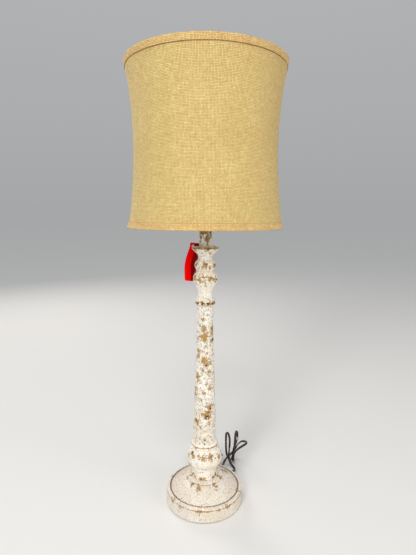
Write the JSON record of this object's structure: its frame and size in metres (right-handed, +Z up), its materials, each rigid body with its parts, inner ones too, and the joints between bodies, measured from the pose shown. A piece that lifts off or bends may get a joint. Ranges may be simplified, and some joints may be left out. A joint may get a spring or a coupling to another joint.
{
  "type": "table lamp with shade",
  "caption": "Table lamp with a turned candlestick column on a round base, a harp and a waisted fabric drum shade.",
  "frame": {"origin": "centre of the base's underside, on the table", "axes": "+Z up along the column, -Y towards the socket's switch knob, +X to its right as seen from the front; the cord leaves the base at the back right"},
  "size_m": [0.288, 0.2919, 0.8522],
  "materials": {
    "distressed_paint": "satin cream paint, chipped through to ochre and dark brown along the turnings",
    "worn_neck": "worn brown stain with cream paint left at its foot",
    "cast_weight": "rough casting",
    "felt": "dull green felt",
    "zinc_steel": "zinc plated",
    "brass": "brass plated, satin",
    "black_rubber": "moulded black rubber",
    "cord_jacket": "dark brown flexible jacket, satin",
    "copper": "bare stranded copper in thin sleeves",
    "insulating_card": "pressed insulating card",
    "dark_moulding": "dark brown moulding",
    "bulb_metal": "thin rolled aluminium",
    "frosted_glass": "inside frosted white",
    "burlap": "natural burlap, open plain weave with slubs",
    "burlap_trim": "burlap strip, folded and stitched",
    "liner": "white lining, smooth",
    "white_label": "blank white sleeve",
    "tag_card": "glossy card, bright red and dark red, blank",
    "clear_plastic": "clear plastic thread"
  },
  "bodies": {
    "lamp": {"base": "distressed_paint", "base_weight": "cast_weight", "felt_pad": "felt", "lower_washer": "zinc_steel", "lower_nut": "brass", "threaded_pipe": "zinc_steel", "cord_bushing": "black_rubber", "bulb_turning": "distressed_paint", "collar_ring": "distressed_paint", "shaft": "distressed_paint", "astragal_ring": "distressed_paint", "vase_turning": "distressed_paint", "ball_turning": "distressed_paint", "candle_cup": "distressed_paint", "neck": "worn_neck", "check_ring": "brass", "harp_saddle": "brass", "socket_cap": "brass", "socket_shell": "brass", "socket_insulator": "insulating_card", "socket_body": "dark_moulding", "screw_shell": "brass", "centre_contact": "brass", "terminal_screws": "brass", "inner_cord": "cord_jacket", "inner_wires": "copper", "cord": "cord_jacket", "cord_coil": "cord_jacket", "cord_end": "cord_jacket", "cord_label": "white_label", "coil_tie": "white_label", "plug_body": "cord_jacket", "plug_blades": "zinc_steel", "tag_loop": "clear_plastic"},
    "switch": {"switch_stem": "brass", "switch_knob": "dark_moulding"},
    "bulb": {"bulb_cap": "bulb_metal", "bulb_contact": "zinc_steel", "bulb_glass": "frosted_glass"},
    "harp": {"harp_wire": "brass", "harp_stud": "brass"},
    "left_sleeve": {"left_sleeve": "brass"},
    "right_sleeve": {"right_sleeve": "brass"},
    "shade": {"shade_hub": "brass", "spider_arms": "brass", "top_ring": "brass", "bottom_ring": "brass", "shade_liner": "liner", "shade_skin": "burlap", "shade_seam": "burlap", "top_band": "burlap_trim", "bottom_band": "burlap_trim"},
    "finial": {"finial": "brass"},
    "tag": {"hang_tag": "tag_card"}
  },
  "joints": [
    {"name": "switch_turn", "type": "hinge", "parent": "lamp", "child": "switch", "pos_m": [0, -0.03, 0.594], "axis": [0, -1, 0], "continuous": true},
    {"name": "bulb_screw", "type": "hinge", "parent": "lamp", "child": "bulb", "pos_m": [0, 0, 0.6062], "axis": [0, 0, 1], "continuous": true},
    {"name": "harp_lift", "type": "slide", "parent": "lamp", "child": "harp", "axis": [0, 0, 1], "range_m": [0, 0.03]},
    {"name": "left_sleeve_lift", "type": "slide", "parent": "harp", "child": "left_sleeve", "axis": [0, 0, 1], "range_m": [0, 0.014]},
    {"name": "right_sleeve_lift", "type": "slide", "parent": "harp", "child": "right_sleeve", "axis": [0, 0, 1], "range_m": [0, 0.014]},
    {"name": "shade_lift", "type": "slide", "parent": "harp", "child": "shade", "axis": [0, 0, 1], "range_m": [0, 0.3]},
    {"name": "finial_turn", "type": "hinge", "parent": "shade", "child": "finial", "pos_m": [0, 0, 0.83], "axis": [0, 0, 1], "continuous": true},
    {"name": "tag_swing", "type": "hinge", "parent": "lamp", "child": "tag", "pos_m": [-0.0117, 0.028, 0.5192], "axis": [0.7609, 0.6489, 0], "range_deg": [0, 60]}
  ]
}
